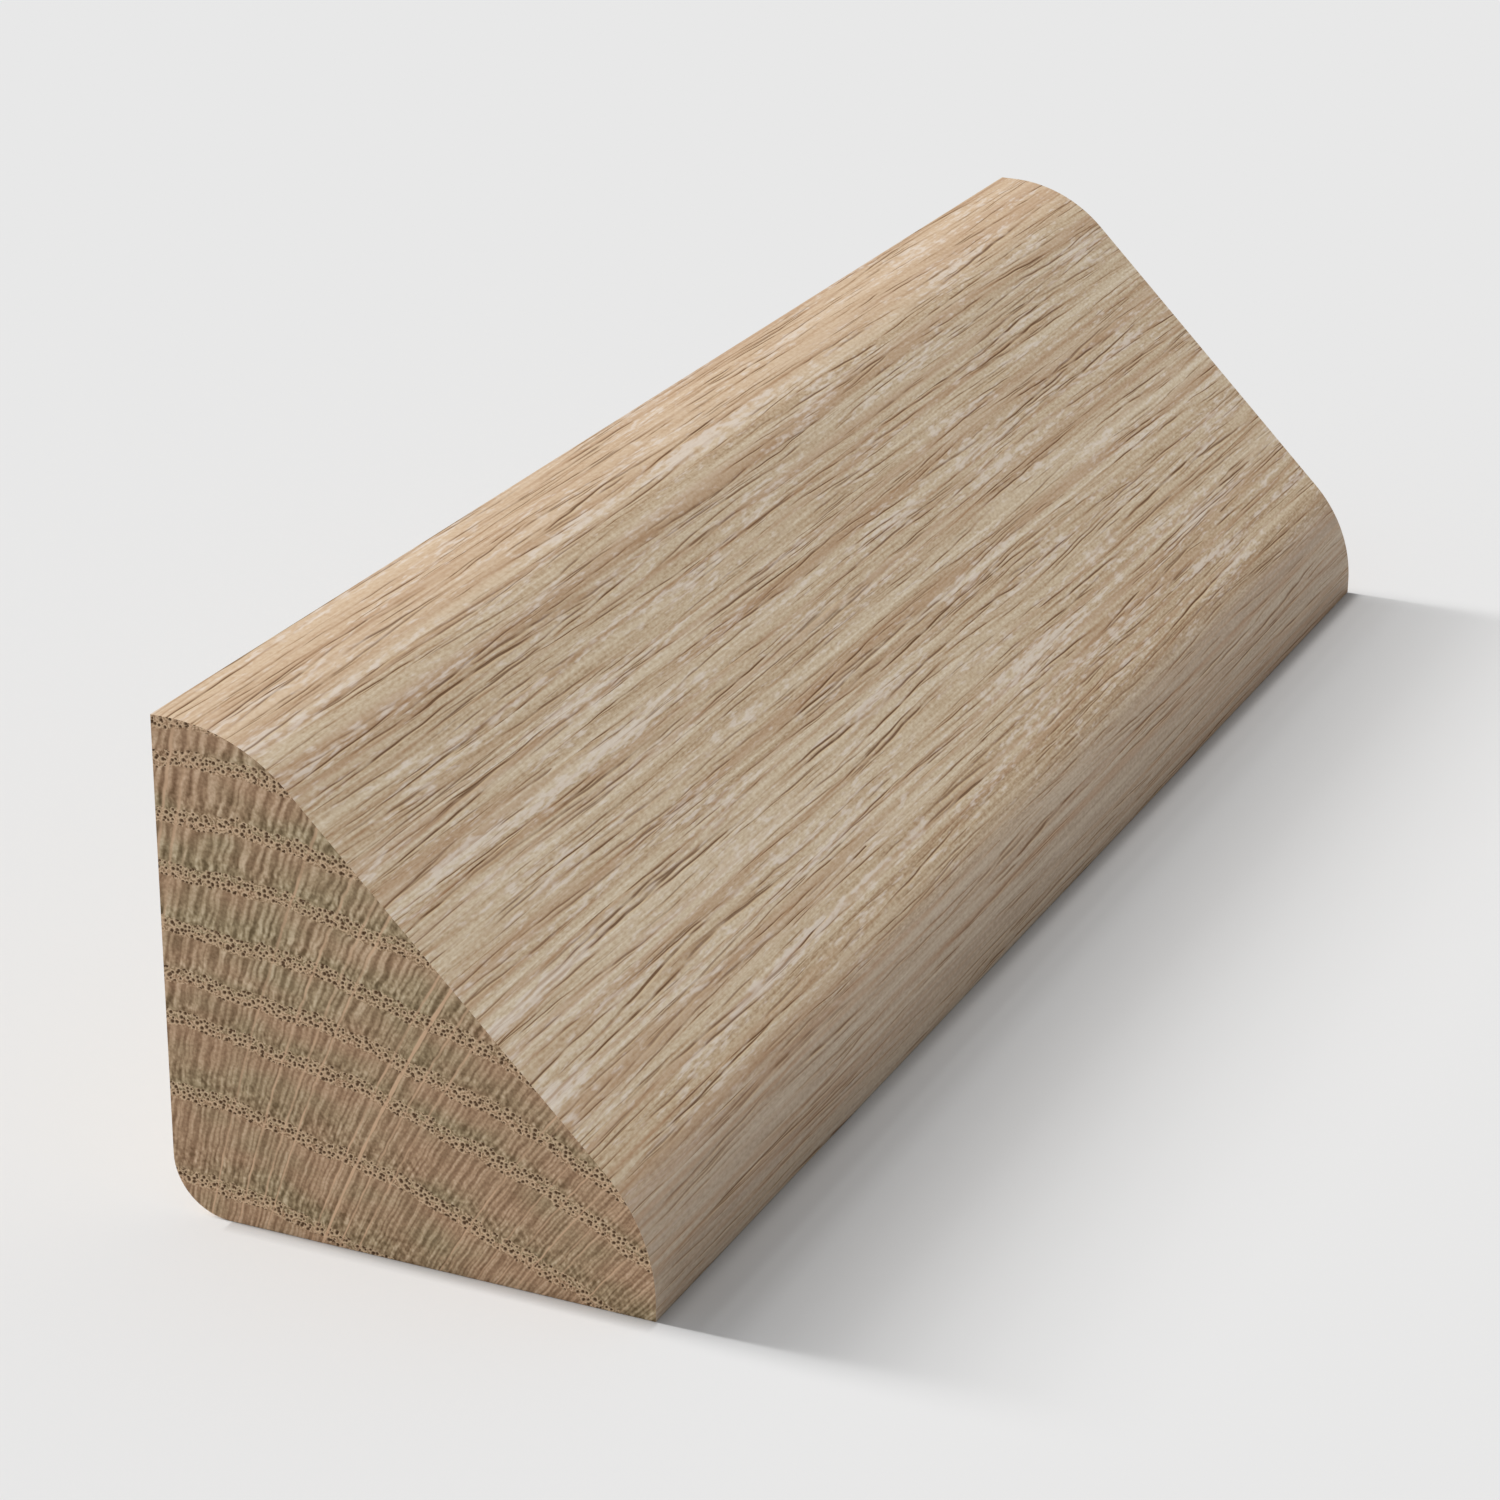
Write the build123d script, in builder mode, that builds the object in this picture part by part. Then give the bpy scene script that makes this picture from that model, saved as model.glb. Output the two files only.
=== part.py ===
from build123d import *

import os

# Triangle moulding: a short, square-cut length of solid oak trim that covers the joint between a
# wall and a floor. The section is a right triangle with equal legs, milled from one piece of wood.
# Both thin tips are blunt: each ends in a narrow land, square to the wall at the crown and square to
# the floor at the toe, and a large nose radius carries the land into the slope. The heel, which goes
# into the corner of the room, is eased so that it clears filler and uneven plaster.
#
# Frame: +X runs along the length, +Y points at the wall, +Z is up. The origin is on the floor, at
# the middle of the footprint.

# Driving dimensions, in millimetres
leg_width = 18.0  # along the floor, from the wall face to the toe
leg_height = 18.0  # up the wall, from the floor face to the crown
piece_length = 75.0  # between the two square-cut ends
crown_land = 0.6  # narrow flat on top, square to the wall face
toe_land = 0.6  # narrow flat in front, square to the floor face
nose_radius = 6.25  # rounding from each land into the slope
heel_radius = 2.1  # easing of the corner between the wall face and the floor face

# Places in the section, as (Y, Z)
wall_y = leg_width / 2
toe_y = wall_y - leg_width
crown_centre = Vector(wall_y - crown_land, leg_height - nose_radius)
toe_centre = Vector(toe_y + nose_radius, toe_land)

# The slope is tangent to both noses. They share a radius, so it runs parallel to the line between
# their centres, and this is the direction of its outward normal, in degrees from +Y towards +Z.
slope_run = toe_centre - crown_centre
slope_normal_angle = Vector(1, 0).get_angle(Vector(slope_run.Y, -slope_run.X))
up_angle = 90.0
front_angle = 180.0

# Moulding: the section, drawn once and extruded equally to both ends
with BuildPart() as moulding:
    with BuildSketch(Plane.YZ) as section:
        with BuildLine() as outline:
            crown_nose = CenterArc(crown_centre, nose_radius, up_angle, slope_normal_angle - up_angle)
            toe_nose = CenterArc(toe_centre, nose_radius, slope_normal_angle, front_angle - slope_normal_angle)
            slope = Line(crown_nose @ 1, toe_nose @ 0)
            toe_flat = Line(toe_nose @ 1, (toe_y, 0))
            floor_leg = Line(toe_flat @ 1, (wall_y, 0))
            wall_leg = Line(floor_leg @ 1, (wall_y, leg_height))
            crown_flat = Line(wall_leg @ 1, crown_nose @ 0)
        make_face()
        heel = section.vertices().group_by(Axis.X)[-1].sort_by(Axis.Y)[0]
        fillet(heel, heel_radius)
    extrude(amount=piece_length / 2, both=True)
moulding.part.label = "moulding"

os.makedirs("parts", exist_ok=True)
export_step(moulding.part, "parts/moulding.step")
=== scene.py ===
import math

import bpy
import numpy as np
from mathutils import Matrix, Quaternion, Vector
from mathutils.geometry import delaunay_2d_cdt


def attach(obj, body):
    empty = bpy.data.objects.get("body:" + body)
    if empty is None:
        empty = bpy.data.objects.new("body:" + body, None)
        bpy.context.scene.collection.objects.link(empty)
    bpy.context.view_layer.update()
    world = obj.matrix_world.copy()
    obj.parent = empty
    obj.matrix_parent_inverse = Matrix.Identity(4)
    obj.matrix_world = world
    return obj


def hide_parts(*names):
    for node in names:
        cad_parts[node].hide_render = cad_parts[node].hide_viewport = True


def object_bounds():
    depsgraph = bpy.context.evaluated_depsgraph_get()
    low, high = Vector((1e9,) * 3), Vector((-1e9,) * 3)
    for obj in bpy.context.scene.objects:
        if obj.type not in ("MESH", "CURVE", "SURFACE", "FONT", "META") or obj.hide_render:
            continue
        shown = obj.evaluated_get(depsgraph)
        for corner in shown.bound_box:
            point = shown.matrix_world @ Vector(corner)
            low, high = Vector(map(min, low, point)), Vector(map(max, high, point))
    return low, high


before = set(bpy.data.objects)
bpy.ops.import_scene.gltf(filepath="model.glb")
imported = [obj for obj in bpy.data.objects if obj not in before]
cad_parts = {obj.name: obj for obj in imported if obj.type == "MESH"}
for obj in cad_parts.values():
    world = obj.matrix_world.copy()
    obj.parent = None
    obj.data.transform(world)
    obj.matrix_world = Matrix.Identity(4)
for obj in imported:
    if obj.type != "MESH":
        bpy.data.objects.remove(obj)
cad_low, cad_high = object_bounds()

# Lengths in this script are millimetres in the part's frame, and colours are screen values from 0 to 255.
MM = 0.001  # Blender's metres in one millimetre

# The section, as in the CAD model: a right triangle with blunt, rounded tips and an eased heel
CROWN_LAND = 0.6
TOE_LAND = 0.6
NOSE_RADIUS = 6.25
HEEL_RADIUS = 2.1
LOW = Vector(cad_low) / MM
HIGH = Vector(cad_high) / MM
WALL_Y = HIGH.y
TOE_Y = LOW.y
CROWN_Z = HIGH.z
NEAR_X = LOW.x
FAR_X = HIGH.x

# Mesh spacing: fine where pores are cut into the surface
FRONT_STEP = 0.06
BACK_STEP = 0.2
LENGTH_STEP = 0.9
BAND_STEP = 0.065
END_STEP = 0.21
EDGE_CLEARANCE = 0.6  # least distance of an end's inner points from its outline, in steps
EDGE_STRIDE = 4  # every fourth edge of the outline is enough to measure that
SAME_POINT = 1e-5

# Growth rings on the ends: heights at which the bands of large pores meet the wall face
RING_HEIGHTS = (-1.9, 1.47, 4.57, 7.2, 8.8, 10.6, 12.66, 14.6, 16.6, 17.9)
RING_TILT = 0.12  # fall of the lowest rings beside the wall face
RING_FAN = 0.008  # how quickly higher rings lie flatter
RING_BEND = 0.0125  # bending down towards the toe
RING_WAVE = 0.07
RING_WAVES = ((1.0, 1.1, 0.5, 0.0), (0.6, 2.7, -0.8, 2.0))  # share, angle per mm out and up, first angle
BAND_HALF = 0.3  # half the thickness of a band of large pores
BAND_EDGE = (1.15, 0.7)  # where a band starts and is full, in halves of its thickness
BAND_NET = 1.1  # how far the fine net reaches, in the same measure
RAY_LEAN = 0.17  # lean of the rays towards the toe, beside the wall face
RAY_FAN = 0.04  # and how it grows towards the toe
RAY_MIDDLE = 9.0  # height that the rays lean about
WIDE_RAY = 10.0  # the one broad ray, as its distance from the wall face at that height
FAR_END_SHIFT = 50.0  # sets the far end's pattern apart from the near end's
END_ROOM = 5.0  # spare room before each end's pattern
LOW_RINGS = (10.5, 7.0)  # heights between which the wide, finely striped lower rings set in
TOP_RINGS = (13.5, 16.5)  # and the browner top ones

# How far the grain's lines wander: in slow drifts, in tilts within the bands and in wiggles of the pores
GRAIN_DRIFT = 0.6
GRAIN_TILT = 0.3
PORE_WIGGLE = 0.06

# The few long streaks that show at once on the front: place down the front from the crown's corner, and half
# the width. A dark one is reddish and full of pores, and a pale one silvery.
DARK_STREAKS = ((5.0, 0.6), (9.7, 0.4), (13.8, 0.4), (19.3, 0.6))
PALE_STREAKS = ((3.4, 0.4), (10.5, 0.4), (15.7, 0.4), (18.4, 0.5), (20.4, 0.4))

# Other places down the front: where the crown's painted warm light fades, and where the painted shade on the
# toe comes and goes
CROWN_WARM_LIGHT_FADE = (4.6, 2.6)
TOE_SHADE_START = (18.0, 23.0)
TOE_SHADE_STOP = (27.4, 26.9)
# The toe's darkening and greying are painted shade, deepest close to the floor
FOOT_SHADE_POWER = 12.0  # keeps the dullest part of the toe close to the floor

# Pores of the long grain, as slender lines: length, width, slant to the grain, the share of places that have
# one, how much larger that is in reddish wood, and the strength
LONG_PORES = (
    (13.0, 0.11, 0.03, 0.4, 0.5, 1.0),
    (9.0, 0.1, -0.02, 0.46, 0.45, 0.95),
    (4.5, 0.09, 0.006, 0.5, 0.35, 0.75),
)
LONG_PORE_SEED = 3  # of the first kind
PORE_RADIUS = 0.25  # of the largest pores, in cells of their pattern
SMALLEST_PORE = 0.4  # as a share of that
FAINTEST_PORE = 0.5
# The lip is a painted highlight, for the lit wall of a pore's groove
LIP_HIGHLIGHT_PLACE = 1.3  # of the bright lip beside a pore, in radii

# Pores of the end grain, as round pits scattered in cells
END_PORE_CELL = (0.19, 0.18)  # along and up the end
END_PORE_RADIUS = 0.26  # of the smallest, in cells
END_PORE_GROWTH = 0.2  # how much larger the largest are
END_PORE_SHARE = 0.9  # of the cells in a band that have one

# Depth of the real relief, and of the bump
PORE_DEPTH = 0.02
END_PORE_DEPTH = 0.06
FIBRE_BUMP = 0.03
STRIPE_BUMP = 0.04
BUMP_STRENGTH = 0.5

# Colours of the long grain, from dark to pale wood and then what lies over it
LONG_TONES = (
    (0.0, (172, 143, 112)),
    (0.3, (201, 177, 146)),
    (0.5, (213, 193, 164)),
    (0.75, (226, 209, 183)),
    (1.0, (238, 225, 205)),
)
# Painted shade: the grey cast at the foot of the toe
FOOT_SHADE_GREY = (194, 180, 166)
# Painted warm light on the crown's top
CROWN_PAINTED_WARM_LIGHT = (224, 188, 155)
REDDISH = (182, 141, 108)
SILVER = (239, 227, 215)
STAIN = (166, 124, 85)
# Painted highlight beside each pore, for the lit wall of its groove
PAINTED_LIP_HIGHLIGHT = (238, 216, 178)
LONG_PORE = (100, 67, 39)

# Colours of the end grain, in its brown and its greyish parts, and then what lies over them
BROWN_TONES = (
    (0.0, (130, 100, 73)),
    (0.35, (168, 135, 106)),
    (0.6, (197, 164, 133)),
    (1.0, (232, 202, 172)),
)
GREY_TONES = (
    (0.0, (114, 96, 68)),
    (0.35, (151, 132, 101)),
    (0.6, (183, 163, 130)),
    (1.0, (220, 202, 170)),
)
EARLY_WOOD = (206, 172, 136)
PORE_RIM = (236, 206, 170)
END_PORE = (89, 62, 40)
RAY = (226, 190, 156)

# Names of the mesh layers that the patterns read
GRAIN_MAP = "grain"
BAKE_MAP = "OFBake"
RING_GAP = "ring_gap"
RING_AGE = "ring_age"
LONG_RELIEF = "long_relief"
END_RELIEF = "end_relief"
BAKE_SIDE = 83.0  # millimetres of surface across the whole bake map
BAKE_EDGE = 0.8
BAKE_END_STEP = 22.0  # from one end to the other on the bake map

# How far each seed moves a pattern, in cells
SEED_ALONG = 17.3
SEED_ACROSS = 29.7
SEED_RAYS = 31.7


class Graph:
    """Adds nodes to one tree. A pattern made with it is the same in a shader and in geometry nodes."""

    def __init__(self, tree):
        self.tree = tree

    def add(self, kind, **settings):
        node = self.tree.nodes.new(kind)
        for name, value in settings.items():
            setattr(node, name, value)
        return node

    def feed(self, socket, value):
        """Links value to the socket, or sets it there if it is a plain number or colour."""
        if isinstance(value, bpy.types.NodeSocket):
            self.tree.links.new(value, socket)
        else:
            socket.default_value = value

    def math(self, operation, *values, clamp=False):
        node = self.add("ShaderNodeMath", operation=operation, use_clamp=clamp)
        for socket, value in zip(node.inputs, values):
            self.feed(socket, value)
        return node.outputs[0]

    def total(self, *terms, start=0.0):
        """The sum of start and of pairs of (value, weight)."""
        whole = start
        for value, weight in terms:
            whole = self.math("MULTIPLY_ADD", value, weight, whole)
        return whole

    def fade(self, value, start, stop, low=0.0, high=1.0):
        """A smooth step from low, at start, to high, at stop."""
        node = self.add("ShaderNodeMapRange", interpolation_type="SMOOTHSTEP")
        for socket, given in zip(node.inputs, (value, start, stop, low, high)):
            self.feed(socket, given)
        return node.outputs["Result"]

    def split(self, vector):
        node = self.add("ShaderNodeSeparateXYZ")
        self.feed(node.inputs[0], vector)
        return node.outputs

    def spot(self, along, across, length, width, seed):
        """A place in a pattern whose cells have this length and width."""
        node = self.add("ShaderNodeCombineXYZ")
        self.feed(node.inputs["X"], self.math("MULTIPLY_ADD", along, 1 / length, SEED_ALONG * seed))
        self.feed(node.inputs["Y"], self.math("MULTIPLY_ADD", across, 1 / width, SEED_ACROSS * seed))
        return node.outputs[0]

    def noise(self, along, across, length, width, seed, detail=1.0, roughness=0.5):
        """Streaky noise about zero."""
        node = self.add("ShaderNodeTexNoise", noise_dimensions="2D")
        self.feed(node.inputs["Vector"], self.spot(along, across, length, width, seed))
        self.feed(node.inputs["Scale"], 1.0)
        self.feed(node.inputs["Detail"], detail)
        self.feed(node.inputs["Roughness"], roughness)
        return self.math("SUBTRACT", node.outputs[0], 0.5)

    def cells(self, along, across, length, width, seed):
        """Offset from the middle of the nearest scattered cell, and three random numbers of that cell."""
        place = self.spot(along, across, length, width, seed)
        node = self.add("ShaderNodeTexVoronoi", voronoi_dimensions="2D")
        self.feed(node.inputs["Vector"], place)
        self.feed(node.inputs["Scale"], 1.0)
        offset = self.add("ShaderNodeVectorMath", operation="SUBTRACT")
        self.feed(offset.inputs[0], place)
        self.feed(offset.inputs[1], node.outputs["Position"])
        return offset.outputs[0], self.split(node.outputs["Color"])

    def reach(self, offset, shift=(0.0, 0.0, 0.0)):
        """Distance from a cell's middle, or from a place beside it."""
        node = self.add("ShaderNodeVectorMath", operation="DISTANCE")
        self.feed(node.inputs[0], offset)
        self.feed(node.inputs[1], shift)
        return node.outputs["Value"]

    def spindles(self, along, across, length, width, share, seed):
        """Slender pores of up to this length and width, tapered at both ends, in this share of the cells.
        Gives the pores, the stained wood round them and a painted highlight along one side of each, for the
        lit wall of its groove."""
        cell = 2 * PORE_RADIUS
        offset, chance = self.cells(along, across, length / cell, width / cell, seed)
        smallest = SMALLEST_PORE * PORE_RADIUS
        radius = self.math("MULTIPLY_ADD", chance[0], PORE_RADIUS - smallest, smallest)
        there = self.math("LESS_THAN", chance[1], share)
        strength = self.math("MULTIPLY_ADD", chance[2], 1 - FAINTEST_PORE, FAINTEST_PORE)
        strength = self.math("MULTIPLY", there, strength)
        away = self.math("DIVIDE", self.reach(offset), radius)
        side = self.add("ShaderNodeCombineXYZ")
        self.feed(side.inputs["Y"], self.math("MULTIPLY", radius, LIP_HIGHLIGHT_PLACE))
        lip_highlight = self.math("DIVIDE", self.reach(offset, side.outputs[0]), radius)
        return (
            self.math("MULTIPLY", strength, self.fade(away, 1.0, 0.5)),
            self.math("MULTIPLY", strength, self.fade(away, 2.3, 0.7)),
            self.math("MULTIPLY", strength, self.fade(lip_highlight, 1.0, 0.3)),
        )

    def mix(self, first, second, factor):
        node = self.add("ShaderNodeMix", data_type="RGBA")
        self.feed(node.inputs["Factor"], factor)
        colour_inputs = [socket for socket in node.inputs if socket.type == "RGBA"]
        self.feed(colour_inputs[0], first)
        self.feed(colour_inputs[1], second)
        return next(socket for socket in node.outputs if socket.type == "RGBA")

    def tint(self, colour, other, factor, strength=1.0):
        """The colour, with this much of another one over it."""
        return self.mix(colour, linear(*other), self.math("MULTIPLY", factor, strength))

    def ramp(self, value, stops):
        """A colour ramp through stops of (position, colour)."""
        node = self.add("ShaderNodeValToRGB")
        elements = node.color_ramp.elements
        while len(elements) < len(stops):
            elements.new(0.5)
        for element, (position, colour) in zip(elements, stops):
            element.position = position
            element.color = linear(*colour)
        self.feed(node.inputs[0], value)
        return node.outputs["Color"]


def linear(red, green, blue):
    """A colour of screen values, as Blender's shaders take it."""
    def one(value):
        share = value / 255
        return share / 12.92 if share <= 0.04045 else ((share + 0.055) / 1.055) ** 2.4
    return (one(red), one(green), one(blue), 1.0)


# Patterns, shared by the relief and the colour. Each noise has a seed of its own.

def grain_lines(graph, along, across):
    """The place across the grain's long bands, which drift slowly, and across its pores and fibres, which
    also tilt within the bands."""
    drift = graph.noise(along, across, length=60.0, width=9.0, seed=1, detail=0.0)
    bands = graph.math("MULTIPLY_ADD", drift, GRAIN_DRIFT, across)
    tilt = graph.noise(along, across, length=12.0, width=0.9, seed=2, detail=0.0)
    return bands, graph.math("MULTIPLY_ADD", tilt, GRAIN_TILT, bands)


def streaks(graph, along, across, wanted):
    """How much each place belongs to these streaks, which fade and swell a little along their length."""
    nearest = 0.0
    for place, half in wanted:
        away = graph.math("ABSOLUTE", graph.math("SUBTRACT", across, place))
        nearest = graph.math("MAXIMUM", graph.fade(away, half, 0.3 * half), nearest)
    swell = graph.noise(along, across, length=18.0, width=1.0, seed=9, detail=0.0)
    return graph.math("MULTIPLY", nearest, graph.fade(swell, -0.3, 0.1))


def warm_zones(graph, along, across):
    """Long reddish streaks of the wood, in which the pores crowd."""
    zones = graph.noise(along, across, length=60.0, width=0.36, seed=14, roughness=0.6)
    dark = streaks(graph, along, across, DARK_STREAKS)
    return graph.math("MAXIMUM", graph.fade(zones, -0.04, 0.24), dark)


def long_pores(graph, along, across, warm):
    """Vessels cut lengthwise, as slender lines that cross at small angles, with stains and painted highlights
    beside them.
    """
    wiggle = graph.noise(along, across, length=1.5, width=0.5, seed=7, detail=0.0)
    across = graph.math("MULTIPLY_ADD", wiggle, PORE_WIGGLE, across)
    breaks = graph.noise(along, across, length=1.6, width=0.25, seed=8, detail=0.0)
    breaks = graph.fade(breaks, -0.25, 0.0, low=0.4)
    kinds = [0.0, 0.0, 0.0]
    for seed, (length, width, slant, share, more, strength) in enumerate(LONG_PORES, LONG_PORE_SEED):
        slanted = graph.math("MULTIPLY_ADD", along, slant, across)
        there = graph.math("MULTIPLY_ADD", warm, more, share)
        found = graph.spindles(along, slanted, length, width, there, seed)
        for place, kind in enumerate(found):
            kinds[place] = graph.math("MAXIMUM", graph.math("MULTIPLY", kind, strength), kinds[place])
    return [graph.math("MULTIPLY", kind, breaks) for kind in kinds]


def end_pores(graph, along, up, early):
    """Vessels cut across: round pores crowded in the bands of early wood, and their pale rims."""
    offset, chance = graph.cells(along, up, *END_PORE_CELL, seed=6)
    radius = graph.math("MULTIPLY_ADD", chance[0], END_PORE_GROWTH, END_PORE_RADIUS)
    reach = graph.math("DIVIDE", graph.reach(offset), radius)
    there = graph.math("LESS_THAN", chance[1], graph.math("MULTIPLY", early, END_PORE_SHARE))
    pores = graph.math("MULTIPLY", graph.fade(reach, 1.2, 0.5), there)
    rims = graph.math("MULTIPLY", graph.fade(reach, 2.0, 1.3), there)
    return pores, rims


def early_wood(graph, gap):
    """One in the bands of large pores, and zero between them."""
    start, full = BAND_EDGE
    return graph.fade(gap, BAND_HALF * start, BAND_HALF * full)


# The mesh: one closed skin on the CAD model's own outline

def steps(length, step):
    return max(1, round(length / step))


def line(start, stop, step):
    """Points from start to just before stop."""
    start, stop = np.array(start, float), np.array(stop, float)
    count = steps(np.linalg.norm(stop - start), step)
    return start + (stop - start) * np.arange(count)[:, None] / count


def arc(centre, radius, start, stop, step):
    """Points on an arc from the start angle, in degrees, to just before the stop angle."""
    count = steps(radius * math.radians(abs(stop - start)), step)
    angles = np.radians(start + (stop - start) * np.arange(count) / count)
    return np.array(centre) + radius * np.stack([np.cos(angles), np.sin(angles)], 1)


def section():
    """The outline as (Y, Z), from the crown's corner at the wall, over the front, to the floor and up the
    wall, and the index of the corner at the toe."""
    crown = (WALL_Y - CROWN_LAND, CROWN_Z - NOSE_RADIUS)
    toe = (TOE_Y + NOSE_RADIUS, TOE_LAND)
    slope = math.degrees(math.atan2(crown[1] - toe[1], crown[0] - toe[0])) + 90
    normal = np.array([math.cos(math.radians(slope)), math.sin(math.radians(slope))])
    front = [
        line((WALL_Y, CROWN_Z), (crown[0], CROWN_Z), FRONT_STEP),
        arc(crown, NOSE_RADIUS, 90, slope, FRONT_STEP),
        line(crown + NOSE_RADIUS * normal, toe + NOSE_RADIUS * normal, FRONT_STEP),
        arc(toe, NOSE_RADIUS, slope, 180, FRONT_STEP),
        line((TOE_Y, TOE_LAND), (TOE_Y, 0), FRONT_STEP),
    ]
    heel = (WALL_Y - HEEL_RADIUS, HEEL_RADIUS)
    back = [
        line((TOE_Y, 0), (heel[0], 0), BACK_STEP),
        arc(heel, HEEL_RADIUS, -90, 0, BACK_STEP),
        line((WALL_Y, heel[1]), (WALL_Y, CROWN_Z), BACK_STEP),
    ]
    return np.concatenate(front + back), sum(len(part) for part in front)


def ring_height(y, z):
    """The height at which the ring through this place meets the wall face."""
    out = WALL_Y - y
    height = (z + RING_TILT * out + RING_BEND * out**2) / (1 + RING_FAN * out)
    for share, per_out, per_up, first in RING_WAVES:
        height = height + RING_WAVE * share * np.sin(per_out * out + per_up * z + first)
    return height


def ring_gap(y, z):
    """Distance from the middle of the nearest band of large pores."""
    return np.abs(ring_height(y, z)[:, None] - np.array(RING_HEIGHTS)).min(1)


def ring_age(y, z):
    """Place between two bands: zero just under the upper one, and one just over the lower one."""
    return np.interp(ring_height(y, z), RING_HEIGHTS, np.arange(len(RING_HEIGHTS))[::-1]) % 1.0


def scatter(outline, step, wanted):
    """Points of a triangular net inside the outline, where wanted(y, z) is true, clear of the edge."""
    across = np.arange(TOE_Y, WALL_Y, step)
    up = np.arange(0, CROWN_Z, step * math.sqrt(3) / 2)
    y, z = np.meshgrid(across, up)
    y[1::2] += step / 2
    y, z = y.ravel(), z.ravel()
    inside = wanted(y, z)
    edges = np.roll(outline, -1, 0) - outline
    edges /= np.linalg.norm(edges, axis=1)[:, None]
    for (edge_y, edge_z), (start_y, start_z) in zip(edges[::EDGE_STRIDE], outline[::EDGE_STRIDE]):
        inside &= edge_y * (z - start_z) - edge_z * (y - start_y) > EDGE_CLEARANCE * step
    return np.stack([y[inside], z[inside]], 1)


def end_net(outline):
    """Points inside an end, close together in the bands of large pores, and the triangles of the end."""
    reach = BAND_HALF * BAND_NET
    bands = scatter(outline, BAND_STEP, lambda y, z: ring_gap(y, z) < reach)
    plain = scatter(outline, END_STEP, lambda y, z: ring_gap(y, z) > reach)
    points = np.concatenate([outline, bands, plain])
    ring = [list(range(len(outline)))]
    found = delaunay_2d_cdt([Vector(p) for p in points], [], ring, 1, SAME_POINT)
    vertices, triangles, sources = found[0], found[2], found[3]
    assert len(vertices) == len(points), "the end's net lost or gained points"
    order = np.array([source[0] for source in sources])
    return points[len(outline):], order[np.array(triangles)]


def signed_area(points, faces):
    a, b, c = (points[faces[:, k]][:, 1:] for k in range(3))
    return np.cross(b - a, c - a).sum()


class Skin:
    """The closed skin: rows of points round the sides, joined by quads, and a triangle net on each end."""

    def __init__(self):
        self.outline, self.toe_corner = section()
        self.stations = np.linspace(NEAR_X, FAR_X, steps(FAR_X - NEAR_X, LENGTH_STEP) + 1)
        self.around = len(self.outline)
        self.side_count = self.around * len(self.stations)
        inner, triangles = end_net(self.outline)
        sides = [np.column_stack([np.full(self.around, x), self.outline]) for x in self.stations]
        ends = [np.column_stack([np.full(len(inner), x), inner]) for x in (NEAR_X, FAR_X)]
        self.points = np.concatenate(sides + ends)
        self.quads = self.side_faces()
        self.near_faces, self.far_faces = self.end_faces(len(inner), triangles)

    def side_faces(self):
        here = np.arange(self.around)
        after = (here + 1) % self.around
        row = np.arange(len(self.stations) - 1)[:, None] * self.around
        next_row = row + self.around
        return np.stack([row + here, row + after, next_row + after, next_row + here], -1).reshape(-1, 4)

    def end_faces(self, inner_count, triangles):
        """The triangles of the near end and of the far end, facing out."""
        rim = np.arange(self.around)
        inner = self.side_count + np.arange(inner_count)
        near = np.concatenate([rim, inner])[triangles]
        far = np.concatenate([rim + self.side_count - self.around, inner + inner_count])[triangles]
        if signed_area(self.points, near) > 0:
            return near[:, ::-1], far
        return near, far[:, ::-1]

    def side_corners(self):
        """The place along the grain and down the section of each corner of the quads."""
        edges = np.linalg.norm(np.roll(self.outline, -1, 0) - self.outline, axis=1)
        down = np.r_[0, np.cumsum(edges)]
        row, column = np.divmod(np.arange(len(self.quads)), self.around)
        x0, x1 = self.stations[row], self.stations[row + 1]
        s0, s1 = down[column], down[column + 1]
        corners = ((x0, s0), (x0, s1), (x1, s1), (x1, s0))
        return np.stack([np.stack(corner, 1) for corner in corners], 1).reshape(-1, 2)

    def end_corners(self, faces, shift):
        """The distance from the wall face and the height of each corner of an end's triangles."""
        at = self.points[faces.ravel()]
        return np.stack([WALL_Y - at[:, 1] + shift, at[:, 2]], 1)


def add_map(mesh, name, places):
    layer = mesh.uv_layers.new(name=name)
    layer.uv.foreach_set("vector", places.astype(np.float32).ravel())


def add_maps(mesh, skin):
    """Says where each corner lies in the grain, and on the bake map."""
    sides = skin.side_corners()
    ends = [skin.end_corners(skin.near_faces, 0.0), skin.end_corners(skin.far_faces, FAR_END_SHIFT)]
    add_map(mesh, GRAIN_MAP, np.concatenate([sides, *ends]))
    above_sides = sides[:, 1].max() + 2 * BAKE_EDGE
    baked = [sides - (NEAR_X - BAKE_EDGE, -BAKE_EDGE)]
    for place, at in enumerate(ends):
        baked.append(at - (at[:, 0].min(), 0) + (BAKE_EDGE + place * BAKE_END_STEP, above_sides))
    add_map(mesh, BAKE_MAP, np.concatenate(baked) / BAKE_SIDE)


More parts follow.
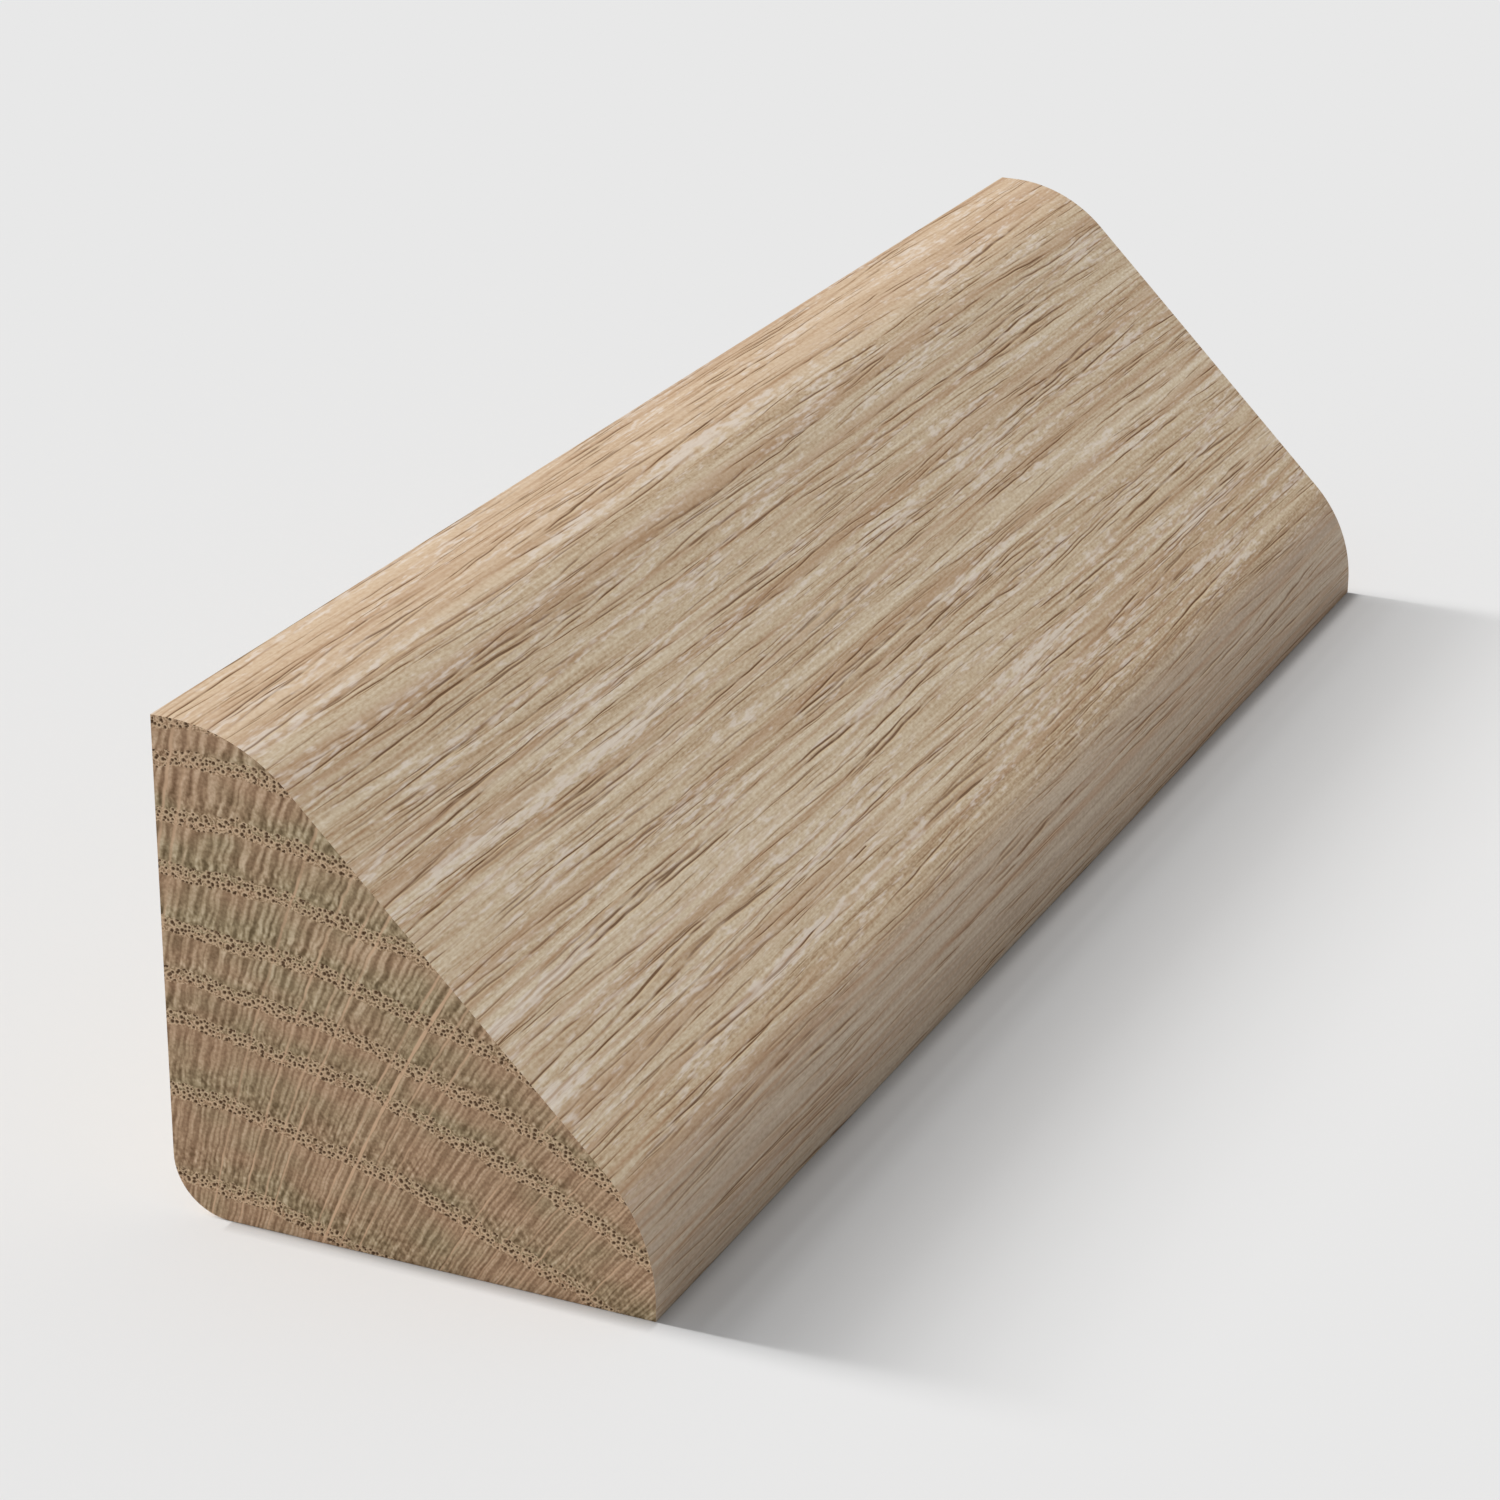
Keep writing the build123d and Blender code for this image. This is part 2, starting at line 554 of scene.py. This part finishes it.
def add_layers(mesh, skin):
    """Adds the ring pattern, the sharp edges, and where the relief may go, which is clear of those edges."""
    index = np.arange(len(skin.points))
    column = index % skin.around
    on_side = index < skin.side_count
    first_row = index < skin.around
    last_row = on_side & (index >= skin.side_count - skin.around)
    on_corner = on_side & np.isin(column, (0, skin.toe_corner))
    edge = first_row | last_row | on_corner
    front = on_side & (column < skin.toe_corner)
    y, z = skin.points[:, 1], skin.points[:, 2]
    for name, values in (
        (RING_GAP, ring_gap(y, z)),
        (RING_AGE, ring_age(y, z)),
        (LONG_RELIEF, front & ~edge),
        (END_RELIEF, ~on_side),
    ):
        layer = mesh.attributes.new(name, "FLOAT", "POINT")
        layer.data.foreach_set("value", values.astype(np.float32))
    edge_ends = np.zeros(len(mesh.edges) * 2, np.int32)
    mesh.edges.foreach_get("vertices", edge_ends)
    sharp = mesh.attributes.new("sharp_edge", "BOOLEAN", "EDGE")
    sharp.data.foreach_set("value", edge[edge_ends.reshape(-1, 2)].all(1))


def build_moulding():
    skin = Skin()
    ends = np.concatenate([skin.near_faces, skin.far_faces])
    mesh = bpy.data.meshes.new("oak_moulding")
    mesh.from_pydata((skin.points * MM).tolist(), [], skin.quads.tolist() + ends.tolist())
    mesh.materials.append(oak_long_grain())
    mesh.materials.append(oak_end_grain())
    slots = np.repeat(np.array([0, 1], np.int32), (len(skin.quads), len(ends)))
    mesh.polygons.foreach_set("material_index", slots)
    mesh.polygons.foreach_set("use_smooth", np.ones(len(slots), bool))
    add_maps(mesh, skin)
    add_layers(mesh, skin)
    mesh.validate()
    moulding = bpy.data.objects.new("oak_moulding", mesh)
    bpy.context.scene.collection.objects.link(moulding)
    return moulding


def relief_nodes():
    """Geometry nodes that press the pores in, with the shader's own patterns."""
    tree = bpy.data.node_groups.new("grain_relief", "GeometryNodeTree")
    tree.interface.new_socket("Geometry", in_out="INPUT", socket_type="NodeSocketGeometry")
    tree.interface.new_socket("Geometry", in_out="OUTPUT", socket_type="NodeSocketGeometry")
    graph = Graph(tree)

    def layer(name, kind="FLOAT"):
        node = graph.add("GeometryNodeInputNamedAttribute", data_type=kind)
        graph.feed(node.inputs["Name"], name)
        return node.outputs["Attribute"]

    along, across, _ = graph.split(layer(GRAIN_MAP, "FLOAT_VECTOR"))
    bands, lines = grain_lines(graph, along, across)
    sides = long_pores(graph, along, lines, warm_zones(graph, along, bands))[0]
    ends = end_pores(graph, along, across, early_wood(graph, layer(RING_GAP)))[0]
    depth = graph.total(
        (graph.math("MULTIPLY", sides, layer(LONG_RELIEF)), -PORE_DEPTH * MM),
        (graph.math("MULTIPLY", ends, layer(END_RELIEF)), -END_PORE_DEPTH * MM),
    )
    press = graph.add("ShaderNodeVectorMath", operation="SCALE")
    graph.feed(press.inputs[0], graph.add("GeometryNodeInputNormal").outputs[0])
    graph.feed(press.inputs["Scale"], depth)
    move = graph.add("GeometryNodeSetPosition")
    graph.feed(move.inputs["Geometry"], graph.add("NodeGroupInput").outputs[0])
    graph.feed(move.inputs["Offset"], press.outputs[0])
    graph.feed(graph.add("NodeGroupOutput").inputs[0], move.outputs[0])
    return tree


def cut_relief(moulding):
    """Presses the pores into the mesh for good."""
    moulding.modifiers.new("grain_relief", "NODES").node_group = relief_nodes()
    ready = bpy.context.evaluated_depsgraph_get()
    mesh = bpy.data.meshes.new_from_object(
        moulding.evaluated_get(ready), preserve_all_data_layers=True, depsgraph=ready
    )
    moulding.modifiers.clear()
    moulding.data = mesh


# Materials

def new_material(name):
    """A material with its graph and the grain's coordinates."""
    material = bpy.data.materials.new(name)
    material.use_nodes = True
    graph = Graph(material.node_tree)
    along, across, _ = graph.split(graph.add("ShaderNodeUVMap", uv_map=GRAIN_MAP).outputs[0])
    return material, graph, along, across


def finish_wood(graph, colour, roughness, specular, height, depth):
    """Sets the shader of a wood, with bump of this depth."""
    shader = graph.tree.nodes["Principled BSDF"]
    graph.feed(shader.inputs["Base Color"], colour)
    graph.feed(shader.inputs["Roughness"], roughness)
    graph.feed(shader.inputs["Specular IOR Level"], specular)
    bump = graph.add("ShaderNodeBump")
    graph.feed(bump.inputs["Strength"], BUMP_STRENGTH)
    graph.feed(bump.inputs["Distance"], depth * MM)
    graph.feed(bump.inputs["Height"], height)
    graph.feed(shader.inputs["Normal"], bump.outputs[0])


def long_tone(graph, along, bands, lines, fibre, toe):
    """How pale the wood is before streaks and pores: speckled, fibrous and banded, and darker at the toe,
    which is painted shade.
    """
    speckle = graph.noise(along, lines, length=0.27, width=0.11, seed=10)
    thread = graph.noise(along, bands, length=60.0, width=0.15, seed=12)
    streak = graph.noise(along, bands, length=70.0, width=0.5, seed=13)
    return graph.total((speckle, 0.65), (fibre, 0.5), (thread, 0.6), (streak, 0.6), (toe, -0.24), start=0.485)


def silver_flecks(graph, along, bands, lines, foot_shade):
    """Small silvery flecks, crowded here and there and in the pale streaks, and fewer close to the floor,
    where the toe's shade is painted.
    """
    fleck = graph.noise(along, lines, length=0.9, width=0.15, seed=15, detail=2.0)
    crowd = graph.noise(along, bands, length=9.0, width=0.7, seed=16)
    pale = streaks(graph, along, bands, PALE_STREAKS)
    flecks = graph.fade(graph.total((fleck, 1.2), (crowd, 0.9), (pale, 0.22)), 0.04, 0.4)
    return graph.math("MULTIPLY", flecks, graph.math("MULTIPLY_ADD", foot_shade, -0.52, 0.62))


def oak_long_grain():
    """Planed oak along the grain: fine fibres, warm and silvery streaks, and dark slender pores."""
    material, graph, along, across = new_material("oak_long_grain")
    bands, lines = grain_lines(graph, along, across)
    fibre = graph.noise(along, lines, length=3.0, width=0.1, seed=11, detail=2.0)
    # Painted shade: the toe, which faces away from the light, is darkened, and greyed towards the floor
    toe = graph.math("MULTIPLY", graph.fade(across, *TOE_SHADE_START), graph.fade(across, *TOE_SHADE_STOP))
    foot_shade = graph.math("POWER", toe, FOOT_SHADE_POWER)
    warm = warm_zones(graph, along, bands)
    colour = graph.ramp(long_tone(graph, along, bands, lines, fibre, toe), LONG_TONES)
    colour = graph.tint(colour, FOOT_SHADE_GREY, foot_shade, strength=0.45)
    # Painted warm light: the crown's top is tinted peach, as if warm light fell on it
    colour = graph.tint(colour, CROWN_PAINTED_WARM_LIGHT, graph.fade(across, *CROWN_WARM_LIGHT_FADE), strength=0.4)
    colour = graph.tint(colour, REDDISH, warm, strength=0.42)
    colour = graph.tint(colour, SILVER, silver_flecks(graph, along, bands, lines, foot_shade))

    # Pores, a little fainter close to the floor, where the toe's shade is painted
    calm = graph.math("MULTIPLY_ADD", foot_shade, -0.3, 1.0)
    kinds = long_pores(graph, along, lines, warm)
    pores, stains, lip_highlights = (graph.math("MULTIPLY", kind, calm) for kind in kinds)
    colour = graph.tint(colour, STAIN, stains, strength=0.7)
    # The lips are painted highlights, for the lit walls of the pores' grooves
    colour = graph.tint(colour, PAINTED_LIP_HIGHLIGHT, lip_highlights, strength=0.55)
    colour = graph.tint(colour, LONG_PORE, pores, strength=0.9)
    roughness = graph.total((pores, 0.2), (fibre, -0.2), start=0.62)
    height = graph.math("MULTIPLY", fibre, 0.6)
    finish_wood(graph, colour, roughness, specular=0.25, height=height, depth=FIBRE_BUMP)
    return material


def ray_lines(graph, place, spacing, half, seed):
    """Thin lines along the rays about this far apart: how near each place is to one, and a random number."""
    node = graph.add("ShaderNodeTexVoronoi", voronoi_dimensions="1D")
    graph.feed(node.inputs["W"], graph.math("MULTIPLY_ADD", place, 1 / spacing, SEED_RAYS * seed))
    graph.feed(node.inputs["Scale"], 1.0)
    near = graph.fade(node.outputs["Distance"], half / spacing, 0.2 * half / spacing)
    return near, graph.split(node.outputs["Color"])[0]


def ray_distance(graph, along, up):
    """Distance of the ray through this place from the wall face, at the height that the rays lean about."""
    # Both ends have the same rays, so the far end's shift is taken off again
    out = graph.math("WRAP", along, FAR_END_SHIFT - END_ROOM, -END_ROOM)
    lean = RAY_LEAN / RAY_FAN
    rise = graph.math("SUBTRACT", up, RAY_MIDDLE)
    shrink = graph.math("EXPONENT", graph.math("MULTIPLY", rise, -RAY_FAN))
    return graph.math("MULTIPLY_ADD", graph.math("ADD", out, lean), shrink, -lean)


def end_stripes(graph, rays, sway, up, early, low):
    """Stripes along the rays between the bands, bold in the upper rings and finer in the wide lower ones."""
    place = graph.total((rays, 1.0), (sway, 0.13))
    stripe = graph.math("SUBTRACT", ray_lines(graph, place, spacing=0.27, half=0.12, seed=2)[0], 0.4)
    flame = graph.noise(place, up, length=0.22, width=1.1, seed=22)
    late = graph.math("SUBTRACT", 1.0, early)
    bold = graph.math("MULTIPLY", late, graph.fade(low, 0.0, 1.0, low=1.0, high=0.75))
    return graph.math("MULTIPLY", graph.total((stripe, 0.38), (flame, 0.8)), bold)


def pale_rays(graph, rays, sway, up):
    """The thin rays, of which some fade out, and the one broad ray."""
    place = graph.total((rays, 1.0), (sway, 0.08))
    thin, chance = ray_lines(graph, place, spacing=0.5, half=0.075, seed=3)
    shown = graph.noise(rays, up, length=0.5, width=1.2, seed=27)
    shown = graph.fade(shown, -0.2, 0.2, low=0.4, high=0.9)
    thin = graph.math("MULTIPLY", thin, graph.math("MULTIPLY", graph.fade(chance, 0.3, 0.9), shown))
    away = graph.math("ABSOLUTE", graph.math("SUBTRACT", rays, WIDE_RAY))
    wide = graph.fade(graph.math("MULTIPLY_ADD", sway, 0.06, away), 0.1, 0.04)
    return graph.math("MAXIMUM", thin, graph.math("MULTIPLY", wide, 0.95))


def oak_end_grain():
    """Sawn oak across the grain: bands of round pores, combed stripes between them, and pale rays."""
    material, graph, along, up = new_material("oak_end_grain")
    gap = graph.add("ShaderNodeAttribute", attribute_name=RING_GAP).outputs["Fac"]
    age = graph.add("ShaderNodeAttribute", attribute_name=RING_AGE).outputs["Fac"]
    early = early_wood(graph, gap)
    low = graph.fade(up, *LOW_RINGS)
    top = graph.fade(up, *TOP_RINGS)
    rays = ray_distance(graph, along, up)
    sway = graph.noise(along, up, length=0.5, width=0.5, seed=21, detail=0.0)

    # The wood between the pores, brown in some places and greyish in others
    stripes = end_stripes(graph, rays, sway, up, early, low)
    mottle = graph.noise(along, up, length=0.12, width=0.12, seed=23)
    crackle = graph.noise(along, up, length=0.18, width=0.25, seed=25)
    crackle = graph.math("MULTIPLY", crackle, graph.fade(age, 0.35, 0.8))
    grit = graph.math("MULTIPLY", graph.noise(along, up, length=0.08, width=0.08, seed=26), early)
    aged = graph.fade(age, 0.4, 0.9)
    tone = graph.total(
        (stripes, 1.0), (mottle, 0.5), (crackle, 1.1), (grit, 2.0), (aged, -0.05), (low, -0.04), start=0.47
    )
    patch = graph.noise(along, up, length=2.8, width=1.4, seed=24)
    olive = graph.fade(graph.total((age, 0.5), (patch, 1.0), (low, -0.2), (top, -0.3)), -0.25, 0.5)
    colour = graph.mix(graph.ramp(tone, BROWN_TONES), graph.ramp(tone, GREY_TONES), olive)

    # Early wood, pores and rays
    pores, rims = end_pores(graph, along, up, early)
    colour = graph.tint(colour, EARLY_WOOD, early, strength=0.15)
    colour = graph.tint(colour, PORE_RIM, rims, strength=0.65)
    colour = graph.tint(colour, END_PORE, pores, strength=0.92)
    colour = graph.tint(colour, RAY, pale_rays(graph, rays, sway, up))
    roughness = graph.total((pores, 0.15), (mottle, 0.2), start=0.75)
    finish_wood(graph, colour, roughness, specular=0.2, height=stripes, depth=STRIPE_BUMP)
    return material


# The stage: a pale floor, soft light from above and low suns that throw the shadow on the floor

FLOOR_LEVEL = 0.807  # the pale floor, in linear light
FLOOR_HALF = 3000.0
FLOOR_DROP = 0.02  # below the moulding's floor face
SKY_LEVEL = 0.34  # share of the light that comes from all round
SHADOW_SUNS = (  # elevation in degrees, and share of the floor's light
    (31, 0.05),
    (33.5, 0.07),
    (36, 0.1),
    (38.5, 0.12),
    (41, 0.12),
    (44.5, 0.09),
    (49, 0.06),
    (56, 0.05),
)
SHADOW_SUN_SPREAD = 5.0
SOFTBOX_TILT = 18.0  # from straight above towards the wall side
SOFTBOX_SPREAD = 50.0
NET_INSET = 0.1
NET_STRIDE = 8  # every eighth point of the outline is enough for the net
NET_THINNING = 0.39  # share of the light that the net lets through at the far end
NET_FOOT = (0.4, 0.8)  # heights from which, and up to which, it starts to do so
STRIP_HEIGHT = 0.05
END_STRIP_WIDTH = 0.75
END_STRIP_THROUGH = 0.5  # share of the light that the strip lets through beside the near end
TOE_STRIP_WIDTH = 0.6
TOE_STRIP_THROUGH = 0.61  # the same beside the toe

# The camera, as fitted to the photograph, with its angles in degrees
CAMERA_AIM = (-5.523, 2.330, 6.0)
CAMERA_DISTANCE = 164.81
CAMERA_AZIMUTH = -65.518
CAMERA_ELEVATION = 22.397
CAMERA_ROLL = 0.275
CAMERA_LENS = 101.275
CAMERA_SENSOR = 36.0
CAMERA_CLIP = 10.0


def only_on(light, receiver):
    """The light falls on this one object, though others still throw shadows in it."""
    group = bpy.data.collections.new("lit_by_" + light.name)
    group.objects.link(receiver)
    light.light_linking.receiver_collection = group


def shaded_by(light, *blockers):
    """Only these objects throw shadows in the light."""
    group = bpy.data.collections.new("shading_" + light.name)
    for blocker in blockers:
        group.objects.link(blocker)
    light.light_linking.blocker_collection = group


def add_sun(name, elevation, level, spread):
    """A sun over the wall side that lights a level surface to this level."""
    data = bpy.data.lights.new(name, "SUN")
    data.energy = level * math.pi / math.sin(math.radians(elevation))
    data.angle = math.radians(spread)
    sun = bpy.data.objects.new(name, data)
    towards = Vector((0, math.cos(math.radians(elevation)), math.sin(math.radians(elevation))))
    sun.rotation_mode = "QUATERNION"
    sun.rotation_quaternion = towards.to_track_quat("Z", "Y")
    bpy.context.scene.collection.objects.link(sun)
    return sun


def build_sheet(name, points, faces):
    """A thin thing of the stage, and the graph of its material."""
    mesh = bpy.data.meshes.new(name)
    mesh.from_pydata((np.array(points) * MM).tolist(), [], faces)
    material = bpy.data.materials.new(name)
    material.use_nodes = True
    mesh.materials.append(material)
    sheet = bpy.data.objects.new(name, mesh)
    bpy.context.scene.collection.objects.link(sheet)
    return sheet, Graph(material.node_tree)


def show_as(graph, shader):
    graph.feed(graph.tree.nodes["Material Output"].inputs["Surface"], shader.outputs[0])


def rectangle(low, high, height):
    """The corners of a level rectangle between two places (X, Y)."""
    return [(x, y, height) for x, y in (low, (high[0], low[1]), high, (low[0], high[1]))]


def build_floor():
    corners = rectangle((-FLOOR_HALF, -FLOOR_HALF), (FLOOR_HALF, FLOOR_HALF), -FLOOR_DROP)
    floor, graph = build_sheet("floor", corners, [(0, 1, 2, 3)])
    paper = graph.add("ShaderNodeBsdfDiffuse")
    graph.feed(paper.inputs["Color"], (FLOOR_LEVEL, FLOOR_LEVEL, FLOOR_LEVEL, 1.0))
    show_as(graph, paper)
    return floor


def build_veil(name, points, faces, share_through, dims_sky=False):
    """An unseen sheet that dims the suns, and where asked also the light from all round. At each crossing it
    lets through the share of the light that share_through(graph, x, y, z) gives."""
    veil, graph = build_sheet(name, points, faces)
    place = graph.add("ShaderNodeVectorMath", operation="SCALE")
    graph.feed(place.inputs[0], graph.add("ShaderNodeTexCoord").outputs["Object"])
    graph.feed(place.inputs["Scale"], 1 / MM)
    clear = graph.add("ShaderNodeBsdfTransparent")
    graph.feed(clear.inputs["Color"], share_through(graph, *graph.split(place.outputs[0])))
    show_as(graph, clear)
    veil.visible_camera = False
    veil.visible_diffuse = dims_sky
    veil.visible_glossy = False
    veil.visible_transmission = False
    return veil


def build_net():
    """A graded net just inside the moulding, which throws the moulding's shadow. It is dense at the near end
    and close to the floor, and thinner towards the far end."""
    outline = section()[0][::NET_STRIDE]
    tangent = np.roll(outline, -1, 0) - np.roll(outline, 1, 0)
    inward = np.stack([-tangent[:, 1], tangent[:, 0]], 1) / np.linalg.norm(tangent, axis=1)[:, None]
    inner = outline + NET_INSET * inward
    count = len(inner)
    points = np.concatenate([np.column_stack([np.full(count, x), inner]) for x in (NEAR_X, FAR_X)])
    sides = [(k, (k + 1) % count, count + (k + 1) % count, count + k) for k in range(count)]

    def share_through(graph, x, y, z):
        per_length = NET_THINNING / (FAR_X - NEAR_X)
        thin = graph.math("MULTIPLY_ADD", x, per_length, NET_THINNING / 2, clamp=True)
        lifted = graph.fade(z, *NET_FOOT)
        # A ray crosses the net twice
        return graph.math("SQRT", graph.math("MULTIPLY", thin, lifted))

    return build_veil("shadow_net", points, sides, share_through)


def build_strip(name, low, high, axis, through, dims_sky=False):
    """A strip on the floor between two places (X, Y), for a line of contact. It is darkest along its high
    edge on this axis, which touches the moulding."""
    width = high[axis] - low[axis]

    def share_through(graph, *place):
        away = graph.math("SUBTRACT", high[axis], place[axis])
        return graph.math("MULTIPLY_ADD", away, (1 - through) / width, through)

    return build_veil(name, rectangle(low, high, STRIP_HEIGHT), [(0, 1, 2, 3)], share_through, dims_sky)


def build_veils():
    end_low = (NEAR_X - END_STRIP_WIDTH, TOE_Y)
    end_high = (NEAR_X, WALL_Y - HEEL_RADIUS)
    toe_low = (NEAR_X, TOE_Y - TOE_STRIP_WIDTH)
    toe_high = (FAR_X, TOE_Y)
    return (
        build_net(),
        build_strip("contact_strip", end_low, end_high, 0, END_STRIP_THROUGH),
        build_strip("toe_strip", toe_low, toe_high, 1, TOE_STRIP_THROUGH, dims_sky=True),
    )


def build_world():
    """Even light from all round, which the camera sees at the floor's own level."""
    world = bpy.data.worlds.new("studio")
    bpy.context.scene.world = world
    world.use_nodes = True
    graph = Graph(world.node_tree)
    seen = graph.add("ShaderNodeLightPath").outputs["Is Camera Ray"]
    background = world.node_tree.nodes["Background"]
    graph.feed(background.inputs["Color"], (1.0, 1.0, 1.0, 1.0))
    level = graph.math("MULTIPLY_ADD", seen, FLOOR_LEVEL - SKY_LEVEL, SKY_LEVEL)
    graph.feed(background.inputs["Strength"], level)


def build_lamps(moulding, floor, veils):
    """Low suns that light only the floor, and a softbox that lights only the moulding."""
    for number, (elevation, level) in enumerate(SHADOW_SUNS):
        sun = add_sun(f"shadow_sun_{number}", elevation, level, SHADOW_SUN_SPREAD)
        only_on(sun, floor)
        shaded_by(sun, *veils)
    softbox = add_sun("softbox", 90 - SOFTBOX_TILT, 1 - SKY_LEVEL, SOFTBOX_SPREAD)
    only_on(softbox, moulding)
    shaded_by(softbox, moulding, floor)


def build_camera():
    """The photograph's view, in a square picture."""
    data = bpy.data.cameras.new("camera")
    data.lens = CAMERA_LENS
    data.sensor_width = CAMERA_SENSOR
    data.clip_start = CAMERA_CLIP * MM
    camera = bpy.data.objects.new("camera", data)
    azimuth = math.radians(CAMERA_AZIMUTH)
    elevation = math.radians(CAMERA_ELEVATION)
    back = Vector((
        math.sin(azimuth) * math.cos(elevation),
        -math.cos(azimuth) * math.cos(elevation),
        math.sin(elevation),
    ))
    roll = Quaternion((0, 0, 1), math.radians(CAMERA_ROLL))
    camera.location = (Vector(CAMERA_AIM) + back * CAMERA_DISTANCE) * MM
    camera.rotation_mode = "QUATERNION"
    camera.rotation_quaternion = (-back).to_track_quat("-Z", "Y") @ roll
    bpy.context.scene.collection.objects.link(camera)
    bpy.context.scene.camera = camera


moulding = build_moulding()
cut_relief(moulding)
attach(moulding, "root")
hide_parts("moulding")
floor = build_floor()
build_world()
build_lamps(moulding, floor, build_veils())
build_camera()
bpy.context.scene.view_settings.view_transform = "Standard"
